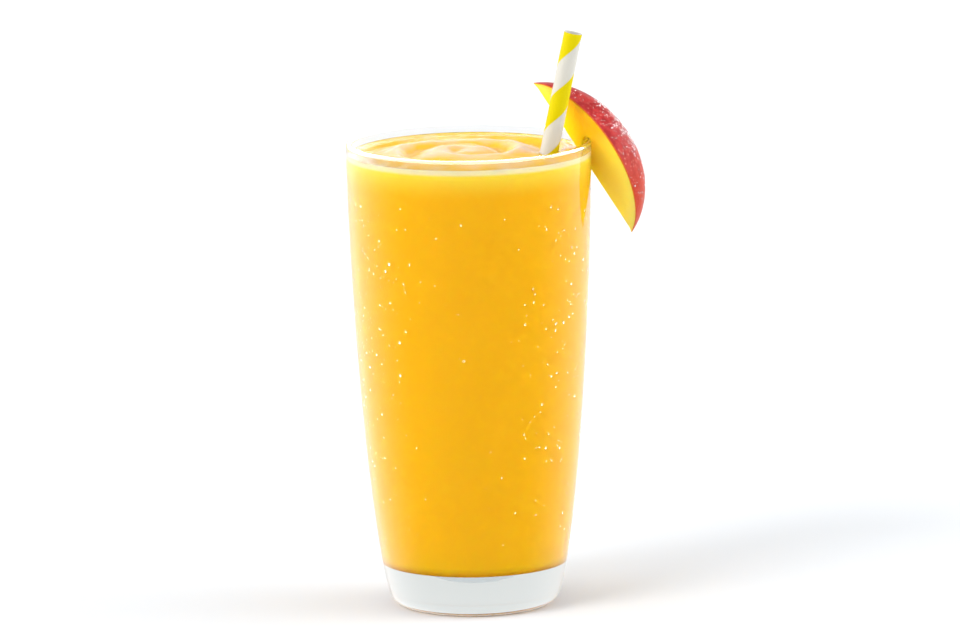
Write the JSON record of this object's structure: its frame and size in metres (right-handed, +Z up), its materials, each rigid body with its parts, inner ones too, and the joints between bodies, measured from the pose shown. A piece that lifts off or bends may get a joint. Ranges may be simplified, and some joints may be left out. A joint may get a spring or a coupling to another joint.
{
  "type": "mango smoothie",
  "caption": "Mango smoothie in a clear barrel-sided tumbler with a thick foot, a swirled top, a striped paper straw and a mango wedge hung on the rim.",
  "frame": {"origin": "on the tumbler's axis, at the middle of its flat underside", "axes": "+Z up along the tumbler's axis, +X towards the side where the wedge and the straw are, -Y the front"},
  "size_m": [0.097, 0.0798, 0.1888],
  "materials": {
    "glass": "clear soda glass, fire-polished",
    "smoothie": "smooth thick puree, wet",
    "straw_paper": "coated paper, spiral stripes in yellow and white",
    "mango": "moist yellow flesh under a red skin",
    "mango_skin": "waxy red skin",
    "water": "clear droplets of condensation"
  },
  "bodies": {
    "root": {"glass": "glass", "smoothie": "smoothie", "straw": "straw_paper", "mango_wedge": "mango"}
  },
  "joints": []
}
